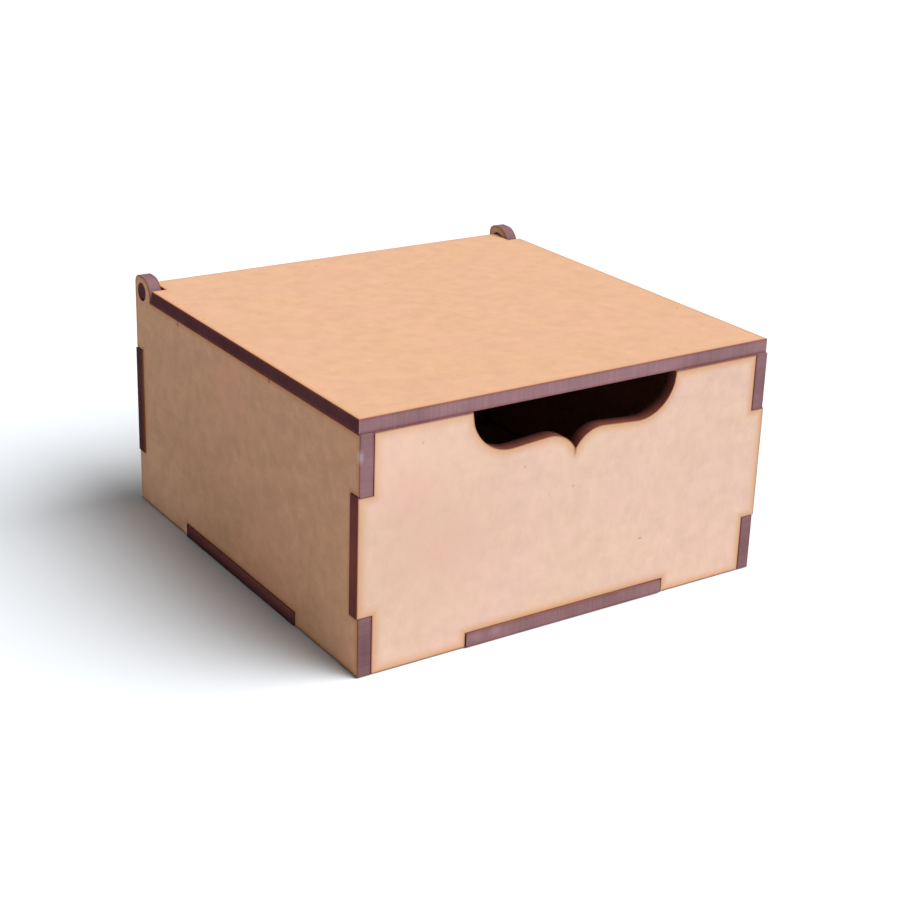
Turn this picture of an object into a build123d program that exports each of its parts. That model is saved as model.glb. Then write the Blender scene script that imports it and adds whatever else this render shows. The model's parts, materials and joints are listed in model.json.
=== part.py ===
"""Flip-top box of laser-cut MDF sheet: five tabbed and glued panels and a lid that turns on its own pegs.

Millimetres, +Z up, front towards -Y. The origin is the middle of the underside.
"""
import os
from math import asin, atan2, cos, degrees, hypot, radians, sin

from build123d import *

# The box
box_width = 100.0         # over the side panels' outer faces
box_depth = 100.0         # over the front and back panels' outer faces
wall_height = 50.0        # underside to the rim that the lid lies on
sheet = 3.0               # thickness of the MDF that every panel is cut from

# Tabs and notches
upright_tab = 25.0        # height of the front and back panels' end tabs
floor_tab = 50.0          # length of the bottom panel's four tabs
tab_proud = 0.3           # tab ends stand out this far from the wall they pass through
joint_gap = 0.08          # cut width between a tab and its notch, filled by glue

# Finger cut-out in the front panel's rim: two lobes, two crests and a point in the middle
cutout_width = 50.0
lobe_radius = 9.0         # quarter round from the rim down to each lobe
crest_radius = 7.5        # round over each crest, ending at the point
lobe_slope = 4.6          # degrees, the run from lobe up to crest
point_slope = 60.0        # degrees, how steeply a crest falls into the point

# Lid, with a peg at each rear corner
lid_setback = 0.5         # lid's front edge behind the front panel's face
peg_width = 2.5           # front to back; pegs are as thick as the sheet
peg_recess = 0.4          # peg end below the ear's outer face
ear_front_gap = 1.0       # lid's notch to the front of the ear
ear_side_gap = 0.4        # lid's neck to the inside of the ear

# Ears of the side panels, with the pivot holes
pivot_play = 0.1          # radial, peg corners to hole
ear_wall = 1.45           # left above and behind the hole
ear_shoulder = 2.3        # left in front of the hole
ear_front_corner = 4.0    # radius of the ear's front top corner
ear_rear_corner = 2.0     # radius of the ear's rear top corner
swing_gap = 0.35          # back panel's rim below the turning corners of the lid

# Places that follow from the sizes above
half_width = box_width / 2
half_depth = box_depth / 2
inner_half_width = half_width - sheet
inner_half_depth = half_depth - sheet
tab_bottom = (wall_height - upright_tab) / 2
tab_top = tab_bottom + upright_tab
peg_reach = hypot(sheet, peg_width) / 2
hole_radius = peg_reach + pivot_play
pivot_y = half_depth - ear_wall - hole_radius
pivot_z = wall_height + sheet / 2
ear_front = pivot_y - hole_radius - ear_shoulder
ear_top = pivot_z + hole_radius + ear_wall
back_height = pivot_z - peg_reach - swing_gap
lid_front = lid_setback - half_depth
lid_rear = pivot_y + peg_width / 2


def rect(left, right, bottom, top):
    """Rectangle in a panel's own plane, from its four sides."""
    return Pos((left + right) / 2, (bottom + top) / 2) * Rectangle(right - left, top - bottom)


def floor_notch():
    """Notch in a wall's bottom edge for one of the bottom panel's tabs."""
    reach = floor_tab / 2 + joint_gap
    return rect(-reach, reach, 0, sheet + joint_gap)


def finger_cutout():
    """Brace-shaped opening, drawn as its left half and the mirror image, closed above the rim."""
    lobe_centre = Vector(lobe_radius - cutout_width / 2, wall_height)
    lobe = CenterArc(lobe_centre, lobe_radius, 180, 90 + lobe_slope)
    slope = radians(lobe_slope)
    crest_x = -crest_radius * sin(radians(point_slope))
    run = (crest_x - crest_radius * sin(slope) - (lobe @ 1).X) / cos(slope)
    crest_start = (lobe @ 1) + Vector(cos(slope), sin(slope)) * run
    crest_centre = crest_start + Vector(sin(slope), -cos(slope)) * crest_radius
    crest = CenterArc(crest_centre, crest_radius, 90 + lobe_slope, -lobe_slope - point_slope)
    above = Vector(0, wall_height + lobe_radius)
    left_half = Curve() + [
        Polyline(above, (above.X - cutout_width / 2, above.Y), lobe @ 0),
        lobe,
        Line(lobe @ 1, crest_start),
        crest,
    ]
    return make_face(left_half.edges() + mirror(left_half, Plane.YZ).edges())


def cross_wall(height):
    """Front or back panel: a plate between the side panels with a tab through each of them."""
    plate_reach = inner_half_width - joint_gap
    tab_reach = half_width + tab_proud
    plate = rect(-plate_reach, plate_reach, 0, height)
    tabs = rect(-tab_reach, tab_reach, tab_bottom, tab_top)
    return plate + tabs - floor_notch()


def side_wall():
    """Side panel, y to the right: full-depth plate, notched for both cross walls, with its ear."""
    plate = rect(-half_depth, half_depth, 0, wall_height)
    ear = rect(ear_front, half_depth, tab_top, ear_top)
    ear = fillet(ear.vertices().group_by(Axis.Y)[-1].sort_by(Axis.X)[0], ear_front_corner)
    ear = fillet(ear.vertices().group_by(Axis.Y)[-1].sort_by(Axis.X)[-1], ear_rear_corner)
    outline = plate + ear - floor_notch()
    notch_low = tab_bottom - joint_gap
    notch_high = tab_top + joint_gap
    notch_inner = inner_half_depth - joint_gap
    outline -= rect(-half_depth, -notch_inner, notch_low, notch_high)
    outline -= rect(notch_inner, half_depth, notch_low, notch_high)
    return outline - Pos(pivot_y, pivot_z) * Circle(hole_radius)


def floor():
    """Bottom panel: a plate inside the four walls with a tab through each of them."""
    x_reach = inner_half_width - joint_gap
    y_reach = inner_half_depth - joint_gap
    plate = rect(-x_reach, x_reach, -y_reach, y_reach)
    side_tabs = rect(-half_width - tab_proud, half_width + tab_proud, -floor_tab / 2, floor_tab / 2)
    end_tabs = rect(-floor_tab / 2, floor_tab / 2, -half_depth - tab_proud, half_depth + tab_proud)
    return plate + side_tabs + end_tabs


def flap():
    """Lid: full width up to the ears, a neck between them and a peg into each."""
    neck_reach = inner_half_width - ear_side_gap
    peg_end = half_width - peg_recess
    plate = rect(-half_width, half_width, lid_front, ear_front - ear_front_gap)
    neck = rect(-neck_reach, neck_reach, lid_front, lid_rear)
    pegs = rect(-peg_end, peg_end, lid_rear - peg_width, lid_rear)
    return plate + neck + pegs


# Each outline stands on the plane of one of its panel's faces; Plane.XZ faces the front
panels = {
    "bottom_panel": (Plane.XY, floor()),
    "front_panel": (Plane.XZ.offset(inner_half_depth), cross_wall(wall_height) - finger_cutout()),
    "back_panel": (Plane.XZ.offset(-half_depth), cross_wall(back_height)),
    "left_side_panel": (Plane.YZ.offset(-half_width), side_wall()),
    "right_side_panel": (Plane.YZ.offset(inner_half_width), side_wall()),
    "lid": (Plane.XY.offset(wall_height), flap()),
}

os.makedirs("parts", exist_ok=True)
for name, (plane, outline) in panels.items():
    export_step(extrude(plane * outline, sheet), f"parts/{name}.step")

# The open lid ends on the back panel's rear top edge
edge_y = half_depth - pivot_y
edge_z = pivot_z - back_height
lid_stop = 180 + degrees(atan2(edge_z, edge_y) - asin(sheet / 2 / hypot(edge_y, edge_z)))
print(f"pivot at y {pivot_y:.3f} z {pivot_z:.3f}, hole diameter {2 * hole_radius:.3f}")
print(f"ear {half_depth - ear_front:.2f} wide, {ear_top - wall_height:.2f} above the rim")
print(f"back panel {back_height:.3f} high, lid stops at {lid_stop:.1f} degrees")
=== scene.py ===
# Flip-top box: six sheets of laser-cut raw MDF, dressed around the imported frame
import json
from math import radians

import bmesh
import bpy
import numpy as np
from mathutils import Euler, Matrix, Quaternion, Vector


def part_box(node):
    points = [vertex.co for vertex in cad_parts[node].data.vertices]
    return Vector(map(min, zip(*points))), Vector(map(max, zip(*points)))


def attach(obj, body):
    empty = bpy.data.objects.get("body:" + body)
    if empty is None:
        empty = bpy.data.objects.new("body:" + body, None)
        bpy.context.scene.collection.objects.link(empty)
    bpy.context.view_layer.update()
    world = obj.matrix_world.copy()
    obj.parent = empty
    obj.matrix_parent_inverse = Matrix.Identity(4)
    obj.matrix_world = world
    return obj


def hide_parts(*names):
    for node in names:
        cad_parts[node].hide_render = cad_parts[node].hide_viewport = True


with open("model.json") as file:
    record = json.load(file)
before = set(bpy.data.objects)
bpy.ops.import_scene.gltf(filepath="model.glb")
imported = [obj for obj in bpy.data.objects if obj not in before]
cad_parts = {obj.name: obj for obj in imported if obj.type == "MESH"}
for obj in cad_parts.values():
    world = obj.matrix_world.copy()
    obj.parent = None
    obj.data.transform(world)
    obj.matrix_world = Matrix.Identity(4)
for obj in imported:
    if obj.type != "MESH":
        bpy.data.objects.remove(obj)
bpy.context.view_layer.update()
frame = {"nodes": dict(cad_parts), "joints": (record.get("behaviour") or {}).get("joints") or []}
mm = 0.001
pivot = Vector(frame["joints"][0]["pos_m"])  # the lid turns about this line, along X
print("frame loaded:", ", ".join(sorted(frame["nodes"])))


# Materials

mixShare, mixFirst, mixSecond, mixResult = 0, 6, 7, 2  # a colour Mix node's sockets, by their places
blend = {"data_type": "RGBA"}
tint = {"data_type": "RGBA", "blend_type": "MULTIPLY"}
noiseSpan = {"From Min": 0.3, "From Max": 0.7}  # most of a noise's values lie between these


def linear(hexColour):  # an sRGB hex value as the linear colour that a socket takes
    shares = [int(hexColour[i:i + 2], 16) / 255 for i in (1, 3, 5)]
    return [s / 12.92 if s <= 0.04045 else ((s + 0.055) / 1.055) ** 2.4 for s in shares] + [1]


def addNode(tree, kind, settings={}, links={}):  # settings are the node's own or its sockets'
    node = tree.nodes.new("ShaderNode" + kind)
    for name, value in settings.items():
        if isinstance(name, str) and hasattr(node, name):
            setattr(node, name, value)
        else:
            node.inputs[name].default_value = value
    for name, source in links.items():
        tree.links.new(source, node.inputs[name])
    return node


def newMaterial(name):
    material = bpy.data.materials.new(name)
    material.use_nodes = True
    return material, material.node_tree, material.node_tree.nodes["Principled BSDF"]


def stretched(axis, along, across):  # a Mapping scale that draws a pattern out along one axis
    return [1 / along if i == axis else 1 / across for i in range(3)]


def shadeBy(tree, colour, noise, span):  # the colour, darker where the noise is low and lighter where high
    shade = addNode(tree, "MapRange", span, {"Value": noise.outputs["Fac"]})
    return addNode(tree, "VectorMath", {"operation": "SCALE"},
                   {0: colour, "Scale": shade.outputs["Result"]}).outputs["Vector"]


def addMarks(tree, place, colour, uneven, marks):  # soft spots of another tone, placed and sized in mm
    for mark in marks:
        spot = {"vector_type": "TEXTURE",
                "Location": [v * mm for v in mark["at"]],
                "Scale": [v * mm for v in mark["reach"]]}
        centred = addNode(tree, "Mapping", spot, {"Vector": place}).outputs["Vector"]
        ball = addNode(tree, "TexGradient", {"gradient_type": "SPHERICAL"}, {"Vector": centred})
        ragged = addNode(tree, "Math", {"operation": "MULTIPLY", "use_clamp": True},
                         {0: ball.outputs["Fac"], 1: uneven})
        share = addNode(tree, "MapRange", {"To Max": mark["share"]}, {"Value": ragged.outputs[0]})
        colour = addNode(tree, "Mix", {**blend, mixSecond: linear(mark["tone"])},
                         {mixShare: share.outputs["Result"], mixFirst: colour}).outputs[mixResult]
    return colour


def joinShader(tree, shader, look, colour, noise):  # colour, roughness and bump into the surface
    tree.links.new(colour, shader.inputs["Base Color"])
    smoothest, roughest = look["roughness"]
    rough = addNode(tree, "MapRange", {**noiseSpan, "To Min": smoothest, "To Max": roughest},
                    {"Value": noise.outputs["Fac"]})
    tree.links.new(rough.outputs["Result"], shader.inputs["Roughness"])
    shader.inputs["Specular IOR Level"].default_value = look["gloss"]
    bump = addNode(tree, "Bump", {"Strength": look["bumpStrength"], "Distance": look["bumpDepth"]},
                   {"Height": noise.outputs["Fac"]})
    tree.links.new(bump.outputs["Normal"], shader.inputs["Normal"])


# Raw MDF, pressed from wood fibre and sanded: a matt tan face with faint pink and straw-coloured
# clouds, short fibres lying every way, a few dark bits of bark, and a toasted rim by each laser cut
mdf = {
    "cloudSize": 14 * mm,
    "cloudPink": "#F5ECE4",        # each tint multiplies the sheet's own tone
    "cloudStraw": "#F3EDDF",
    "cloudSpan": (0.36, 0.64),     # noise values over which pink turns to straw
    "mottleSize": 3.2 * mm,
    "mottleFineness": 0.52,        # how strongly the finer mottling shows
    "mottleShade": 0.095,
    "streakLength": 2.6 * mm,      # the way that the sheet went through the press
    "streakWidth": 0.7 * mm,
    "streakWander": 0.6,
    "streakShade": 0.03,
    "fibrePatch": 2 * mm,          # fibres lie one way over a patch of about this size
    "fibreLength": 2.4 * mm,
    "fibreWidth": 0.3 * mm,        # real fibres are finer; this is as coarse as it needs to show
    "fibreShade": 0.045,
    "shadeSpan": (0.25, 0.75),     # noise values over which mottling, streaks and fibres go dark to light
    "fleckSpacing": 6 * mm,
    "fleckRadius": 0.45 * mm,
    "fleckTone": "#C4AE9C",
    "fleckless": 0.5,              # share of the places for a fleck that stay bare
    "toastTint": "#EFD5A6",
    "toastPower": 1.2,
    "toastUneven": (0.75, 1.2),    # least and most of it, by the mottling
    "burntLine": "#6E4A44",
    "gloss": 0.2,
    "roughness": (0.62, 0.78),
    "bumpDepth": 0.015 * mm,       # fuzz of fibre ends
    "bumpStrength": 0.5,
}


def cloudedTone(tree, place, tone):  # the sheet's own tone with its pink and straw-coloured clouds
    low, high = mdf["cloudSpan"]
    cloud = addNode(tree, "TexNoise", {"Scale": 1 / mdf["cloudSize"], "Detail": 3}, {"Vector": place})
    share = addNode(tree, "MapRange", {"From Min": low, "From Max": high}, {"Value": cloud.outputs["Fac"]})
    tints = {**blend, mixFirst: linear(mdf["cloudPink"]), mixSecond: linear(mdf["cloudStraw"])}
    clouds = addNode(tree, "Mix", tints, {mixShare: share.outputs["Result"]})
    return addNode(tree, "Mix", {**tint, mixShare: 1, mixFirst: linear(tone)},
                   {mixSecond: clouds.outputs[mixResult]}).outputs[mixResult]


def layFibres(tree, place, axis):  # noise drawn out into fibres, another way over each small patch
    patch = addNode(tree, "TexVoronoi", {"Scale": 1 / mdf["fibrePatch"]}, {"Vector": place})
    way = addNode(tree, "SeparateColor", {}, {"Color": patch.outputs["Color"]})
    turn = addNode(tree, "Math", {"operation": "MULTIPLY", 1: radians(180)}, {0: way.outputs["Red"]})
    turned = addNode(tree, "VectorRotate", {"Axis": [float(i == axis) for i in range(3)]},
                     {"Vector": place, "Angle": turn.outputs[0]})
    drawn = {"Scale": stretched((axis + 1) % 3, mdf["fibreLength"], mdf["fibreWidth"])}
    laid = addNode(tree, "Mapping", drawn, {"Vector": turned.outputs["Vector"]})
    return addNode(tree, "TexNoise", {"Scale": 1, "Detail": 2}, {"Vector": laid.outputs["Vector"]})


def addBark(tree, place, colour):  # a few dark bits, some faint and some strong
    bark = addNode(tree, "TexVoronoi", {"Scale": 1 / mdf["fleckSpacing"]}, {"Vector": place})
    inwards = {"From Max": mdf["fleckRadius"] / mdf["fleckSpacing"], "To Min": 1, "To Max": 0}
    dot = addNode(tree, "MapRange", inwards, {"Value": bark.outputs["Distance"]})
    chance = addNode(tree, "SeparateColor", {}, {"Color": bark.outputs["Color"]})
    some = addNode(tree, "MapRange", {"From Min": mdf["fleckless"]}, {"Value": chance.outputs["Red"]})
    fleck = addNode(tree, "Math", {"operation": "MULTIPLY"},
                    {0: dot.outputs["Result"], 1: some.outputs["Result"]})
    return addNode(tree, "Mix", {**tint, mixSecond: linear(mdf["fleckTone"])},
                   {mixShare: fleck.outputs[0], mixFirst: colour}).outputs[mixResult]


def readHeat(tree, place, spec):  # the laser's heat, from the mesh and from a ring round the pivot hole
    heat = addNode(tree, "Attribute", {"attribute_name": "scorch"}).outputs["Fac"]
    if "holeRadius" not in spec:
        return heat
    offset = addNode(tree, "VectorMath", {"operation": "SUBTRACT", 1: pivot}, {0: place})
    across = addNode(tree, "VectorMath", {"operation": "MULTIPLY", 1: (0, 1, 1)},
                     {0: offset.outputs["Vector"]})
    away = addNode(tree, "VectorMath", {"operation": "LENGTH"}, {0: across.outputs["Vector"]})
    outwards = {"From Min": spec["holeRadius"], "From Max": spec["holeRadius"] + spec["holeToast"],
                "To Min": spec["toast"], "To Max": 0}
    ring = addNode(tree, "MapRange", outwards, {"Value": away.outputs["Value"]})
    return addNode(tree, "Math", {"operation": "MAXIMUM"},
                   {0: heat, 1: ring.outputs["Result"]}).outputs[0]


def addToast(tree, colour, heat, uneven, spec):  # browned near a cut, with a burnt line right along it
    toast = addNode(tree, "Math", {"operation": "POWER", 1: mdf["toastPower"]}, {0: heat})
    share = addNode(tree, "Math", {"operation": "MULTIPLY", "use_clamp": True},
                    {0: toast.outputs[0], 1: uneven})
    colour = addNode(tree, "Mix", {**tint, mixSecond: linear(mdf["toastTint"])},
                     {mixShare: share.outputs[0], mixFirst: colour}).outputs[mixResult]
    line = addNode(tree, "MapRange", {"From Min": spec["lineFrom"], "To Max": spec["line"]}, {"Value": heat})
    return addNode(tree, "Mix", {**blend, mixSecond: linear(mdf["burntLine"])},
                   {mixShare: line.outputs["Result"], mixFirst: colour}).outputs[mixResult]


def rawMdf(spec):
    material, tree, shader = newMaterial("rawMdf_" + spec["name"])
    place = addNode(tree, "TexCoord").outputs["Object"]
    mottleLook = {"Scale": 1 / mdf["mottleSize"], "Detail": 4, "Roughness": mdf["mottleFineness"]}
    mottle = addNode(tree, "TexNoise", mottleLook, {"Vector": place})
    drawn = {"Scale": stretched(spec["pressed"], mdf["streakLength"], mdf["streakWidth"])}
    pressed = addNode(tree, "Mapping", drawn, {"Vector": place})
    streak = addNode(tree, "TexNoise", {"Scale": 1, "Detail": 2, "Distortion": mdf["streakWander"]},
                     {"Vector": pressed.outputs["Vector"]})
    fibre = layFibres(tree, place, spec["axis"])

    colour = cloudedTone(tree, place, spec["tone"])
    darkAt, lightAt = mdf["shadeSpan"]
    for noise, shade in ((mottle, "mottleShade"), (streak, "streakShade"), (fibre, "fibreShade")):
        change = mdf[shade] * spec["grain"]
        span = {"From Min": darkAt, "From Max": lightAt, "To Min": 1 - change, "To Max": 1 + change}
        colour = shadeBy(tree, colour, noise, span)
    colour = addBark(tree, place, colour)
    least, most = mdf["toastUneven"]
    uneven = addNode(tree, "MapRange", {**noiseSpan, "To Min": least, "To Max": most},
                     {"Value": mottle.outputs["Fac"]}).outputs["Result"]
    colour = addToast(tree, colour, readHeat(tree, place, spec), uneven, spec)
    colour = addMarks(tree, place, colour, uneven, spec["faceMarks"])
    joinShader(tree, shader, mdf, colour, fibre)
    return material


# Laser-cut MDF edge: charred to a dead matt purplish brown, redder along its two rims, with painted shade on
# the edges that face sideways, with faint lines through the sheet where the beam stepped along
cut = {
    # painted shade for the cut edges that face sideways
    "sideShade": "#4C2E31",
    "rim": "#743C32",
    "rimFrom": 0.6,                # share of the way from the middle of the edge to its rim
    "rimShare": 0.6,
    "ember": "#63362E",            # on the finger cut-out's wall: a redder, darker char, partly painted shade under the lid
    # painted shade, near black, on the cut-out's wall under the lid
    "cutoutShade": "#1C1314",
    "cutoutShadeFrom": -0.7,             # painted shade begins here, by the outer face at -1, and is full at the inner one
    "lineSpacing": 0.45 * mm,      # real lines are closer; this is as coarse as it needs to show
    "lineLength": 30 * mm,
    "lineFineness": 0.6,
    "lineShade": (0.9, 1.09),
    "cloudSize": 8 * mm,
    "cloudShade": (0.88, 1.12),
    "markUneven": (0.6, 1.4),      # least and most of a mark, by the clouds
    "gloss": 0,
    "roughness": (0.7, 0.85),
    "bumpDepth": 0.02 * mm,        # ridges of those lines
    "bumpStrength": 0.5,
}


def laserEdge(spec):
    material, tree, shader = newMaterial("laserEdge_" + spec["name"])
    place = addNode(tree, "TexCoord").outputs["Object"]
    drawn = {"Scale": stretched(spec["axis"], cut["lineLength"], cut["lineSpacing"])}
    stepped = addNode(tree, "Mapping", drawn, {"Vector": place})
    lines = addNode(tree, "TexNoise", {"Scale": 1, "Detail": 3, "Roughness": cut["lineFineness"]},
                    {"Vector": stepped.outputs["Vector"]})
    cloud = addNode(tree, "TexNoise", {"Scale": 1 / cut["cloudSize"], "Detail": 3}, {"Vector": place})

    # The way through the sheet, from -1 at one face to 1 at the other
    through = addNode(tree, "SeparateXYZ", {}, {"Vector": place}).outputs["XYZ"[spec["axis"]]]
    faceToFace = {"From Min": spec["low"], "From Max": spec["high"], "To Min": -1, "To Max": 1}
    depth = addNode(tree, "MapRange", faceToFace, {"Value": through}).outputs["Result"]
    fromMiddle = addNode(tree, "Math", {"operation": "ABSOLUTE"}, {0: depth}).outputs[0]
    rim = addNode(tree, "MapRange", {"From Min": cut["rimFrom"], "To Max": cut["rimShare"]},
                  {"Value": fromMiddle}).outputs["Result"]
    # how far an edge faces sideways: the share of its painted side shade
    facesSideways = addNode(tree, "Attribute", {"attribute_name": "sideShade"}).outputs["Fac"]
    # 1 on the finger cut-out's faces, which get painted shade
    inCutout = addNode(tree, "Attribute", {"attribute_name": "cutoutShade"}).outputs["Fac"]
    inside = addNode(tree, "MapRange", {"From Min": cut["cutoutShadeFrom"]}, {"Value": depth}).outputs["Result"]
    cutoutShade = addNode(tree, "Math", {"operation": "MULTIPLY"}, {0: inCutout, 1: inside}).outputs[0]

    colour = addNode(tree, "Mix", {**blend, mixFirst: linear(spec["char"]), mixSecond: linear(cut["sideShade"])},
                     {mixShare: facesSideways}).outputs[mixResult]
    for tone, share in (("rim", rim), ("ember", inCutout), ("cutoutShade", cutoutShade)):
        colour = addNode(tree, "Mix", {**blend, mixSecond: linear(cut[tone])},
                         {mixShare: share, mixFirst: colour}).outputs[mixResult]
    for noise, shade in ((lines, "lineShade"), (cloud, "cloudShade")):
        darkest, lightest = cut[shade]
        colour = shadeBy(tree, colour, noise, {**noiseSpan, "To Min": darkest, "To Max": lightest})
    least, most = cut["markUneven"]
    uneven = addNode(tree, "MapRange", {**noiseSpan, "To Min": least, "To Max": most},
                     {"Value": cloud.outputs["Fac"]}).outputs["Result"]
    colour = addMarks(tree, place, colour, uneven, spec["edgeMarks"])
    joinShader(tree, shader, cut, colour, lines)
    return material


# Modelling steps that every sheet goes through

flatLimit = 0.999           # a big face's normal lies at least this far along the way through the sheet
sharpTurn = radians(50)     # from one cut edge to the next, at a corner of the outline
smoothTurn = radians(14)    # smaller turns are shaded as one curve
levelTurn = radians(1)      # smaller turns are taken as flat
touching = 0.1 * mm         # parts this near are taken as in the same place
hair = 0.01 * mm            # and points this near to a line as on it
weld = 0.001 * mm           # and points this near to each other as one

sheet = {
    "body": "box",
    "grain": 1,                        # how strongly the face's pattern shows
    "step": 4.8 * mm,                  # longest run along an outline
    "arris": 0.1 * mm,
    "rings": (1.6 * mm, 0.7 * mm),     # widths of the toasted rings inside an outline
    "toast": 0.7,                      # how brown the face is beside a cut
    "dwell": 0.3,                      # how much more at corners, where the beam slows
    "dwellReach": 1.5,                 # how far that goes, in widths of all the rings
    "mostToast": 0.85,
    "coolRight": 0,                    # how much less at the right end
    "coolFoot": 0,                     # how much less at the foot
    "footHeight": 6 * mm,
    "line": 0.7,                       # how strong the burnt line along a cut is
    "lineFrom": 0.86,                  # heat at which it begins
    "char": "#785B5E",
    "faceMarks": [],
    "edgeMarks": [],
}


def chooseOnly(piece):  # this piece alone is selected and active
    bpy.ops.object.select_all(action="DESELECT")
    piece.select_set(True)
    bpy.context.view_layer.objects.active = piece


def editPiece(piece):
    chooseOnly(piece)
    bpy.ops.object.mode_set(mode="EDIT")


def pick(piece, kind, test):  # selects the faces or edges that pass the test, and counts them
    bpy.ops.mesh.select_mode(type=kind)
    bpy.ops.mesh.select_all(action="DESELECT")
    cage = bmesh.from_edit_mesh(piece.data)
    found = [part for part in (cage.faces if kind == "FACE" else cage.edges) if test(part)]
    for part in found:
        part.select_set(True)
    cage.select_flush_mode()
    bmesh.update_edit_mesh(piece.data)
    return len(found)


def isFlat(face, axis):  # one of the sheet's two big faces, and not a cut edge
    return abs(face.normal[axis]) > flatLimit


def isBorder(edge, axis):  # between a big face and a cut edge
    return {isFlat(face, axis) for face in edge.link_faces} == {True, False}


def isCorner(vert, axis):  # where the cut turns sharply
    return any(not isBorder(edge, axis) and edge.calc_face_angle(0) > sharpTurn for edge in vert.link_edges)


def inHole(part, spec):  # a face or an edge of the pivot hole
    reach = spec.get("holeRadius", 0) + touching
    return all((vert.co - pivot).yz.length < reach for vert in part.verts)


def copySheet(spec):  # a merged copy of the CAD sheet, each flat face made whole
    piece = bpy.data.objects.new(spec["name"], frame["nodes"][spec["node"]].data.copy())
    piece.data.materials.clear()
    bpy.context.scene.collection.objects.link(piece)
    editPiece(piece)
    bpy.ops.mesh.select_all(action="SELECT")
    bpy.ops.mesh.remove_doubles(threshold=weld)
    bpy.ops.mesh.customdata_custom_splitnormals_clear()
    bpy.ops.mesh.dissolve_limited(angle_limit=levelTurn)
    low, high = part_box(spec["node"])
    size = high - low
    spec["axis"] = min(range(3), key=lambda i: size[i])  # the way through the sheet
    spec["low"], spec["high"] = low[spec["axis"]], high[spec["axis"]]
    return piece


def plugHole(piece, spec):  # the pivot hole is taken out, so that the toasted rings run straight past it
    pick(piece, "FACE", lambda face: not isFlat(face, spec["axis"]) and inHole(face, spec))
    bpy.ops.mesh.delete(type="FACE")
    pick(piece, "EDGE", lambda edge: edge.is_boundary)
    bpy.ops.mesh.fill_holes(sides=0)
    bpy.ops.mesh.select_all(action="SELECT")
    bpy.ops.mesh.normals_make_consistent(inside=False)
    bpy.ops.mesh.dissolve_limited(angle_limit=levelTurn)


def workSheet(piece, spec):  # soft arrises, and rings inside each outline that carry the toasting
    axis = spec["axis"]
    cage = bmesh.from_edit_mesh(piece.data)
    spec["corners"] = [vert.co.copy() for vert in cage.verts if isCorner(vert, axis)]
    while pick(piece, "EDGE", lambda edge: edge.calc_length() > spec["step"] and isBorder(edge, axis)):
        bpy.ops.mesh.subdivide(number_cuts=1)
    if pick(piece, "EDGE", lambda edge: all(isFlat(face, axis) for face in edge.link_faces)):
        bpy.ops.mesh.dissolve_edges(use_verts=False)
    pick(piece, "EDGE", lambda edge: isBorder(edge, axis))
    bpy.ops.mesh.bevel(offset=spec["arris"], segments=2, affect="EDGES")
    pick(piece, "FACE", lambda face: isFlat(face, axis))
    for width in spec["rings"]:
        bpy.ops.mesh.inset(thickness=width, depth=0)
    bpy.ops.object.mode_set(mode="OBJECT")


def drillHole(piece, spec):  # the pivot hole again, round and with its own arris
    low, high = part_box(spec["node"])
    drillLength = 4 * (high.x - low.x)  # well past both faces
    bpy.ops.object.select_all(action="DESELECT")
    bpy.ops.mesh.primitive_cylinder_add(
        vertices=spec["holeSides"], radius=spec["holeRadius"], depth=drillLength,
        location=((low.x + high.x) / 2, pivot.y, pivot.z), rotation=(0, radians(90), 0))
    drill = bpy.context.object
    hole = piece.modifiers.new("pivotHole", "BOOLEAN")
    hole.object = drill
    hole.solver = "EXACT"
    chooseOnly(piece)
    bpy.ops.object.modifier_apply(modifier=hole.name)
    bpy.data.objects.remove(drill)
    editPiece(piece)
    pick(piece, "EDGE", lambda edge: isBorder(edge, spec["axis"]) and inHole(edge, spec))
    bpy.ops.mesh.bevel(offset=spec["holeArris"], segments=2, affect="EDGES")
    bpy.ops.object.mode_set(mode="OBJECT")


def markToast(piece, spec):  # the laser's heat at each point: 1 at a cut, less over the rings, then 0
    axis, mesh = spec["axis"], piece.data
    cage = bmesh.new()
    cage.from_mesh(mesh)
    borders = [edge for edge in cage.edges if isBorder(edge, axis) and not inHole(edge, spec)]
    starts = np.array([edge.verts[0].co for edge in borders])
    runs = np.array([edge.verts[1].co for edge in borders]) - starts
    corners = np.array(spec["corners"])
    reach = sum(spec["rings"])
    low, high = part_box(spec["node"])
    scorch = mesh.attributes.new("scorch", "FLOAT", "POINT")
    for vert in cage.verts:
        spot = np.array(vert.co)
        share = np.clip(((spot - starts) * runs).sum(1) / (runs ** 2).sum(1), 0, 1)
        distance = np.linalg.norm(starts + runs * share[:, None] - spot, axis=1).min()
        if distance < hair or not any(isFlat(face, axis) for face in vert.link_faces):
            scorch.data[vert.index].value = 1
            continue
        heat = spec["toast"] * max(0, 1 - distance / reach)
        if distance < reach - hair:
            toCorner = np.linalg.norm(corners - spot, axis=1).min()
            heat += spec["dwell"] * max(0, 1 - toCorner / (spec["dwellReach"] * reach))
        toRight = (vert.co.x - low.x) / (high.x - low.x)
        toFoot = max(0, 1 - (vert.co.z - low.z) / spec["footHeight"])
        heat *= 1 - spec["coolRight"] * toRight - spec["coolFoot"] * toFoot
        scorch.data[vert.index].value = min(spec["mostToast"], heat)
    cage.free()


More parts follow.
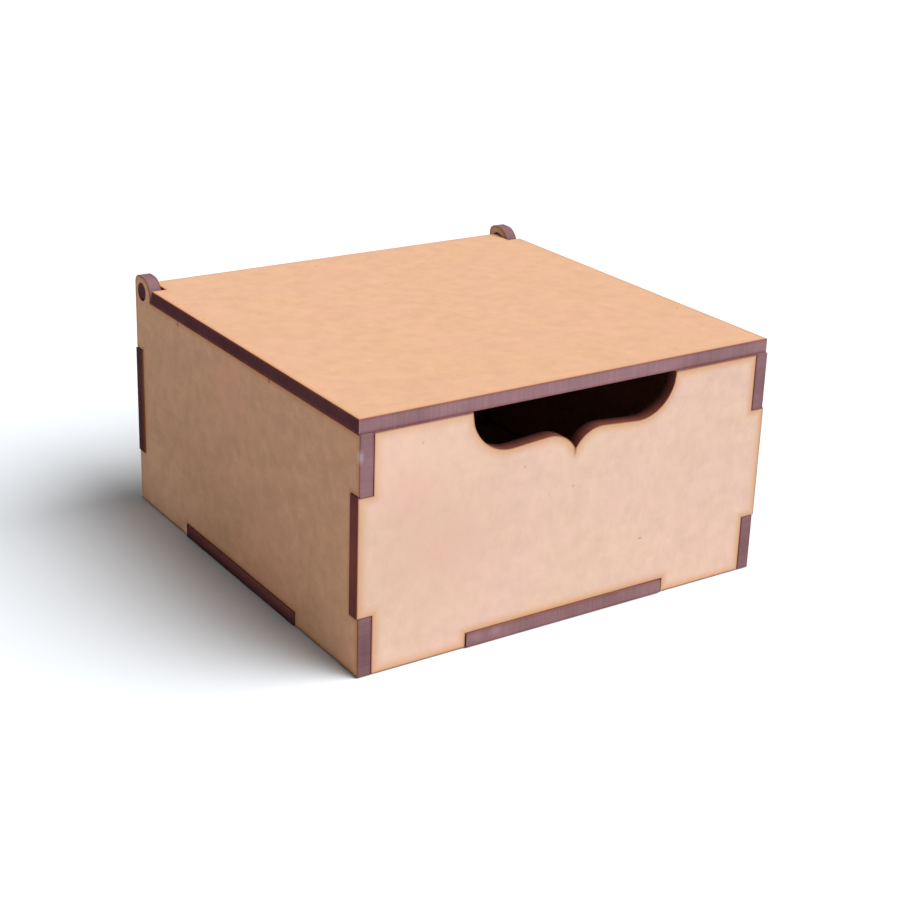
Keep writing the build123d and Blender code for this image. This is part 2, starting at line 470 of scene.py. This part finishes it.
def finishSheet(piece, spec):  # toasting, materials by the way each face looks, then the frame's own calls
    markToast(piece, spec)
    for material in (rawMdf(spec), laserEdge(spec)):
        piece.data.materials.append(material)
    # painted shade on the cut edges, by how far each faces sideways
    sideShade = piece.data.attributes.new("sideShade", "FLOAT", "FACE")
    # marks the finger cut-out's faces for painted shade
    cutoutShade = piece.data.attributes.new("cutoutShade", "FLOAT", "FACE")
    for face in piece.data.polygons:
        face.material_index = int(not isFlat(face, spec["axis"]))
        sideShade.data[face.index].value = abs(face.normal.x)
        if "cutoutShadeBox" in spec:
            sides = zip(face.center, spec["cutoutShadeBox"])
            cutoutShade.data[face.index].value = float(all(low * mm < v < high * mm for v, (low, high) in sides))
    chooseOnly(piece)
    bpy.ops.object.shade_smooth_by_angle(angle=smoothTurn)
    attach(piece, spec["body"])
    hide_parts(spec["node"])
    print(f"{spec['name']}: {len(piece.data.polygons)} faces")


# Front panel, with the brace-shaped finger cut-out in its rim, whose wall has painted shade, near black,
# under the lid
# Its tone is paler and pinker than the other sheets': painted light, the wash-out of its brightly lit face
frontSpec = {
    **sheet, "name": "frontPanel", "node": "front_panel", "tone": "#CBB0A5", "pressed": 2, "grain": 0.6,
    "toast": 0.95, "coolRight": 0.45, "coolFoot": 0.3,
    "cutoutEnd": 25 * mm,       # from the middle to each end of the cut-out, along the rim
    "cutoutRun": 2.6 * mm,      # small steps this near to an end are joined
    # the finger cut-out's faces lie in this box; they get painted shade
    "cutoutShadeBox": ((-24.99, 24.99), (-50, -47), (37, 49.99)),
    "faceMarks": [  # painted light at the upper left, a dark cloud, two pink ones, the scorched point of the brace, a bit of bark
        # painted light: the upper left of the face made lighter
        {"at": (-38, -50, 44), "reach": (24, 10, 13), "tone": "#D3AF9A", "share": 0.5},
        {"at": (-36, -50, 23), "reach": (30, 20, 24), "tone": "#B8917A", "share": 0.3},
        {"at": (-38, -50, 35), "reach": (9, 10, 8), "tone": "#C2978D", "share": 0.38},
        {"at": (-30, -50, 24), "reach": (11, 10, 9), "tone": "#C09389", "share": 0.24},
        {"at": (-0.1, -50, 37.6), "reach": (0.5, 1, 1.7), "tone": "#7A4436", "share": 0.9},
        {"at": (18.4, -50, 14.1), "reach": (0.6, 0.5, 0.3), "tone": "#6E5648", "share": 0.8}],
    "edgeMarks": [  # the left tab's end, redder than other edges
        {"at": (-50.3, -48.5, 25), "reach": (1, 3, 18), "tone": "#774237", "share": 0.8}],
}
frontPanel = copySheet(frontSpec)
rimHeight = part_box("front_panel")[1].z


def isSmallStep(edge):  # goes through the sheet, on the first small steps of the cut-out below the rim
    place = edge.verts[0].co
    toEnd = Vector((abs(place.x) - frontSpec["cutoutEnd"], place.z - rimHeight)).length
    isThrough = not any(isFlat(face, frontSpec["axis"]) for face in edge.link_faces)
    return isThrough and touching < toEnd < frontSpec["cutoutRun"]


pick(frontPanel, "EDGE", isSmallStep)
bpy.ops.mesh.dissolve_edges(use_verts=True)  # leaves one longer step, or the rings would cross there
workSheet(frontPanel, frontSpec)
finishSheet(frontPanel, frontSpec)

# Back panel, plain
backSpec = {**sheet, "name": "backPanel", "node": "back_panel", "tone": "#CFA387", "pressed": 2}
backPanel = copySheet(backSpec)
workSheet(backPanel, backSpec)
finishSheet(backPanel, backSpec)

# Side panels, each with an ear and its pivot hole; the left one has a pale sliver by a tab and a whitish
# smear, part dried glue and part painted glint
sideSpec = {
    **sheet, "pressed": 1, "rings": (1.2 * mm, 0.5 * mm),
    "holeRadius": 2.053 * mm, "holeSides": 48, "holeArris": 0.06 * mm, "holeToast": 0.8 * mm,
}
# The left sheet's tone is darker than the others': painted shade for its side away from the lamp
leftSpec = {
    **sideSpec, "name": "leftSidePanel", "node": "left_side_panel", "tone": "#B99074", "grain": 1.2,
    "toast": 0.3,
    "faceMarks": [  # two reddish clouds, painted light at the rear foot, a dark band at the foot, a pale sliver by a tab, two burns, a whitish smear
        {"at": (-50, 3, 42), "reach": (10, 12, 12), "tone": "#C08670", "share": 0.45},
        {"at": (-50, -13, 7), "reach": (10, 18, 12), "tone": "#C08670", "share": 0.35},
        # painted light: the rear foot of the face made lighter against its shade
        {"at": (-50, 38, 4), "reach": (10, 30, 16), "tone": "#D2AA8C", "share": 0.5},
        # painted contact shadow along the foot, with some char from the cut
        {"at": (-50, 0, 0), "reach": (1, 400, 0.7), "tone": "#3A302C", "share": 0.9},
        # a pale sliver just behind the tab's rear end
        {"at": (-50, 25.6, 0.8), "reach": (1, 1, 2.4), "tone": "#E4D6CC", "share": 0.75},
        {"at": (-50, 27.8, 49.2), "reach": (1, 0.8, 0.9), "tone": "#5A3A34", "share": 0.8},
        {"at": (-50, -14.4, 49.5), "reach": (1, 0.8, 0.7), "tone": "#5A3A34", "share": 0.8},
        # a whitish smear at the front corner: part dried glue, part painted glint
        {"at": (-50, -50, 45.7), "reach": (1, 1.9, 1.8), "tone": "#C4BFCA", "share": 0.5}],
    "edgeMarks": [  # the same whitish smear, part dried glue and part painted glint, on the front edge, which is lighter at its top and darker at its foot
        # the same smear on the edge: part dried glue, part painted glint
        {"at": (-50, -50, 45.7), "reach": (1.1, 1, 1.8), "tone": "#C4BFCA", "share": 0.5},
        {"at": (-48.5, -50, 43), "reach": (4, 2, 9), "tone": "#8C6A70", "share": 0.5},
        {"at": (-48.5, -50, 5), "reach": (4, 2, 10), "tone": "#4C3238", "share": 0.6}],
}
rightSpec = {
    **sideSpec, "name": "rightSidePanel", "node": "right_side_panel", "tone": "#C09B82", "toast": 0.6,
    "edgeMarks": [  # darker at its foot
        {"at": (48.5, -50, 5), "reach": (4, 2, 10), "tone": "#4C3238", "share": 0.4}],
}
for spec in (leftSpec, rightSpec):
    sidePanel = copySheet(spec)
    plugHole(sidePanel, spec)
    workSheet(sidePanel, spec)
    drillHole(sidePanel, spec)
    finishSheet(sidePanel, spec)

# Bottom panel, with a tab through each wall; the front tab stops a little short at its right end
bottomSpec = {
    **sheet, "name": "bottomPanel", "node": "bottom_panel", "tone": "#CFA387", "pressed": 1,
    "line": 1, "lineFrom": 0.5,
    "tabEnd": 25 * mm, "tabShort": 0.25 * mm,
    "edgeMarks": [  # two pale smudges on the front tab's end, and the left tab's end, redder, with painted contact shadow along its foot
        {"at": (-22.7, -50.3, 1.8), "reach": (2.4, 1, 1.5), "tone": "#A8898E", "share": 0.3},
        {"at": (-18.1, -50.3, 2), "reach": (2, 1, 1.2), "tone": "#A8898E", "share": 0.2},
        {"at": (-50.3, 0, 1.5), "reach": (1, 90, 8), "tone": "#7C4A45", "share": 0.4},
        # painted contact shadow along the tab's foot
        {"at": (-50.3, 0, 0), "reach": (1, 300, 2), "tone": "#1E1819", "share": 0.8}],
}
bottomPanel = copySheet(bottomSpec)


def isTabEnd(face):  # the front tab's right end
    middle = face.calc_center_median()
    return face.normal.x > flatLimit and middle.y < 0 and abs(middle.x - bottomSpec["tabEnd"]) < touching


pick(bottomPanel, "FACE", isTabEnd)
bpy.ops.transform.translate(value=(-bottomSpec["tabShort"], 0, 0))
workSheet(bottomPanel, bottomSpec)
finishSheet(bottomPanel, bottomSpec)

# Lid, notched round the ears, with a peg into each; its rings are narrow to fit the pegs
# Its cut edges are a lighter char than the other sheets': painted light on them
lidSpec = {
    **sheet, "name": "lidPanel", "node": "lid", "body": "lid", "tone": "#D0A98F", "pressed": 0, "grain": 0.6,
    "rings": (0.7 * mm, 0.4 * mm), "toast": 0.3, "dwell": 0, "line": 0.2, "char": "#806266",
}
lidPanel = copySheet(lidSpec)
workSheet(lidPanel, lidSpec)
finishSheet(lidPanel, lidSpec)

# Studio: a white floor, a big soft lamp at the front right, a weak low one at the left, and a dim room
# that pales at the horizon
studio = {
    "floorSize": 12,
    "floorTone": "#DBDFE3",
    "floorRoughness": 0.9,
    "floorDrop": 0.15 * mm,        # just clear of the underside
    "keyLamp": {"heading": 46, "height": 49, "spread": 54, "power": 5.5},
    "fillLamp": {"heading": -90, "height": 9, "spread": 50, "power": 0.8},
    "roomTone": "#FFFFFF",
    "roomTop": 0.16,
    "roomHorizon": 1.0,
    "horizonReach": 0.12,
}
bpy.ops.object.select_all(action="DESELECT")
bpy.ops.mesh.primitive_plane_add(size=studio["floorSize"], location=(0, 0, -studio["floorDrop"]))
floor = bpy.context.object
floor.name = "floor"
paper, paperTree, paperShader = newMaterial("whitePaper")
paperShader.inputs["Base Color"].default_value = linear(studio["floorTone"])
paperShader.inputs["Roughness"].default_value = studio["floorRoughness"]
floor.data.materials.append(paper)
for lamp in (studio["keyLamp"], studio["fillLamp"]):
    tilt = (radians(90 - lamp["height"]), 0, radians(lamp["heading"]))
    bpy.ops.object.light_add(type="SUN", rotation=tilt)
    sun = bpy.context.object.data
    sun.angle = radians(lamp["spread"])
    sun.energy = lamp["power"]
room = bpy.data.worlds.new("room")
room.use_nodes = True
bpy.context.scene.world = room
roomTree = room.node_tree
outlook = addNode(roomTree, "TexCoord").outputs["Generated"]
upwards = addNode(roomTree, "SeparateXYZ", {}, {"Vector": outlook}).outputs["Z"]
fade = {"From Max": studio["horizonReach"], "To Min": studio["roomHorizon"], "To Max": studio["roomTop"],
        "interpolation_type": "SMOOTHSTEP"}
glow = addNode(roomTree, "MapRange", fade, {"Value": upwards})
roomLight = roomTree.nodes["Background"]
roomLight.inputs["Color"].default_value = linear(studio["roomTone"])
roomTree.links.new(glow.outputs["Result"], roomLight.inputs["Strength"])
bpy.context.scene.view_settings.view_transform = "Standard"
print("studio lit")

# Camera at the photograph's place
shot = {
    "place": (-204.2 * mm, -308.9 * mm, 168.4 * mm),
    "heading": 33.85,
    "dip": 20.24,
    "roll": 1.83,
    "lens": 70.95,
    "shiftY": -0.055,
    "nearest": 10 * mm,
}
bpy.ops.object.camera_add(location=shot["place"])
camera = bpy.context.object
aim = Euler((radians(90 - shot["dip"]), 0, radians(-shot["heading"]))).to_quaternion()
camera.rotation_euler = (aim @ Quaternion((0, 0, 1), radians(shot["roll"]))).to_euler()
camera.data.lens = shot["lens"]
camera.data.shift_y = shot["shiftY"]
camera.data.clip_start = shot["nearest"]
bpy.context.scene.camera = camera
print("camera set")
